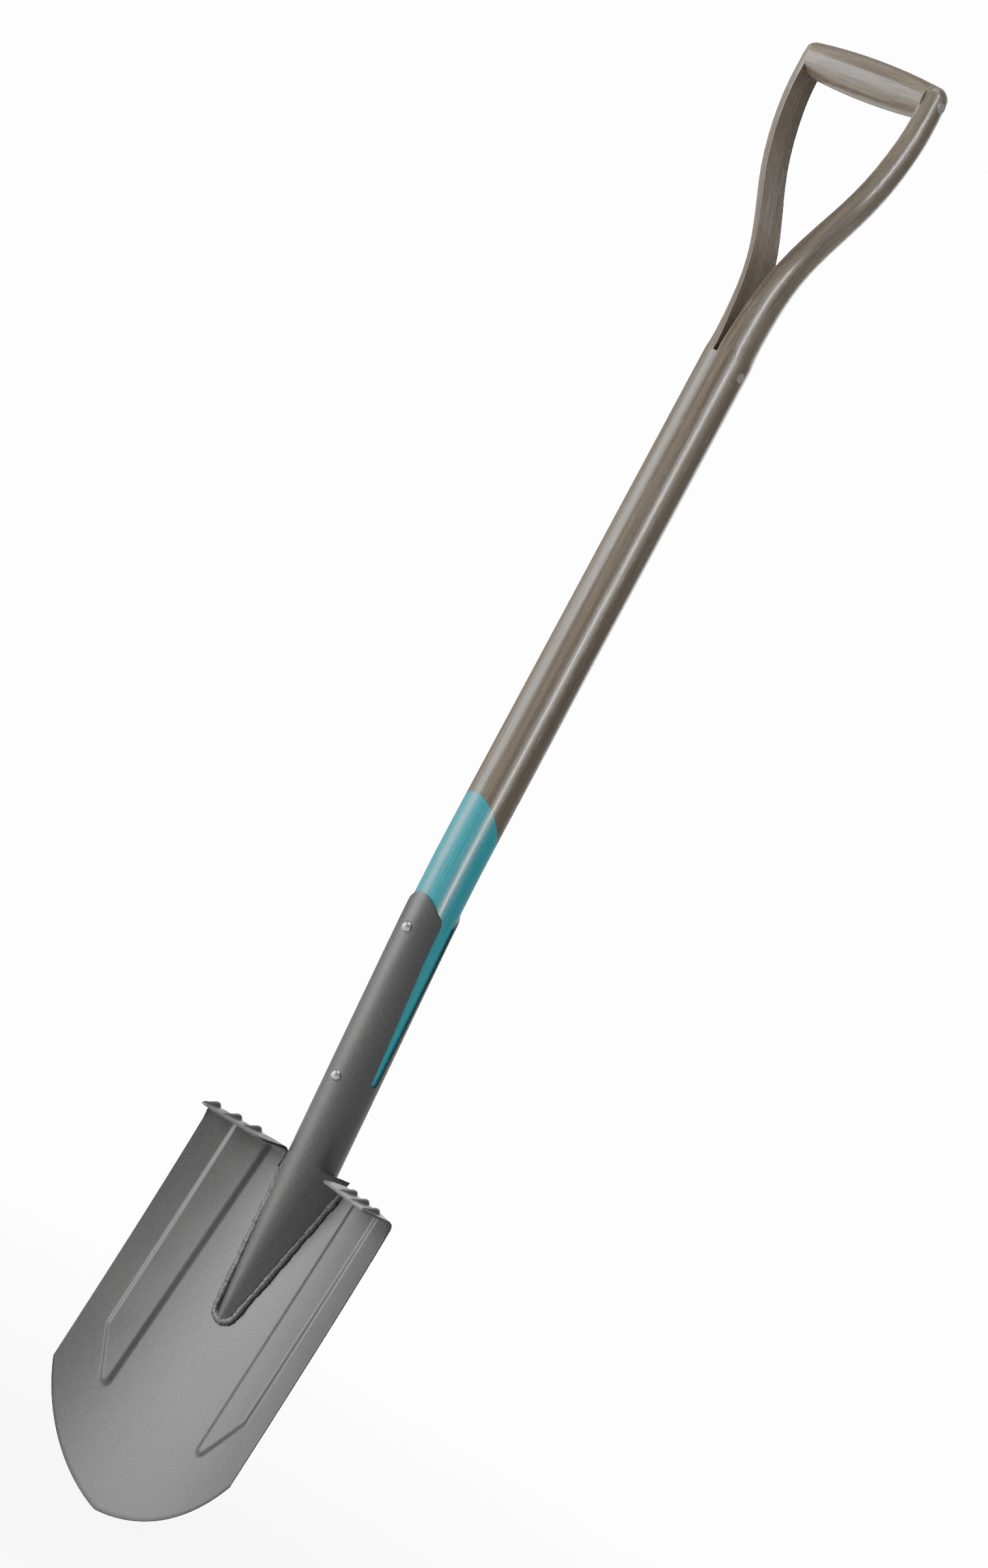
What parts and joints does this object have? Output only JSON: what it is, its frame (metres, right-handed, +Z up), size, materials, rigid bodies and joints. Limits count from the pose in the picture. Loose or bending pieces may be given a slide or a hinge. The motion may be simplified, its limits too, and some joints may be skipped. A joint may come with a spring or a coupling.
{
  "type": "garden spade",
  "caption": "Pointed digging spade with pressed steel blade, foot treads, strapped socket and split wooden D handle.",
  "frame": {"origin": "centre of the bounding box in X and Y, at the height of the blade's tip", "axes": "+Z up the shaft towards the grip, -Y the side that the blade's hollow faces, +X along the grip"},
  "size_m": [0.197, 0.062, 1.1649],
  "materials": {
    "coated_steel": "dark grey satin powder coat",
    "ash_wood": "grey-brown stained and varnished ash, teal band above the socket",
    "rivet_steel": "plain steel"
  },
  "bodies": {
    "root": {"blade": "coated_steel", "socket": "coated_steel", "front_weld": "coated_steel", "rear_weld": "coated_steel", "handle": "ash_wood", "grip": "ash_wood", "grip_rivet": "rivet_steel", "split_rivet": "rivet_steel", "upper_strap_rivet": "rivet_steel", "lower_strap_rivet": "rivet_steel"}
  },
  "joints": []
}
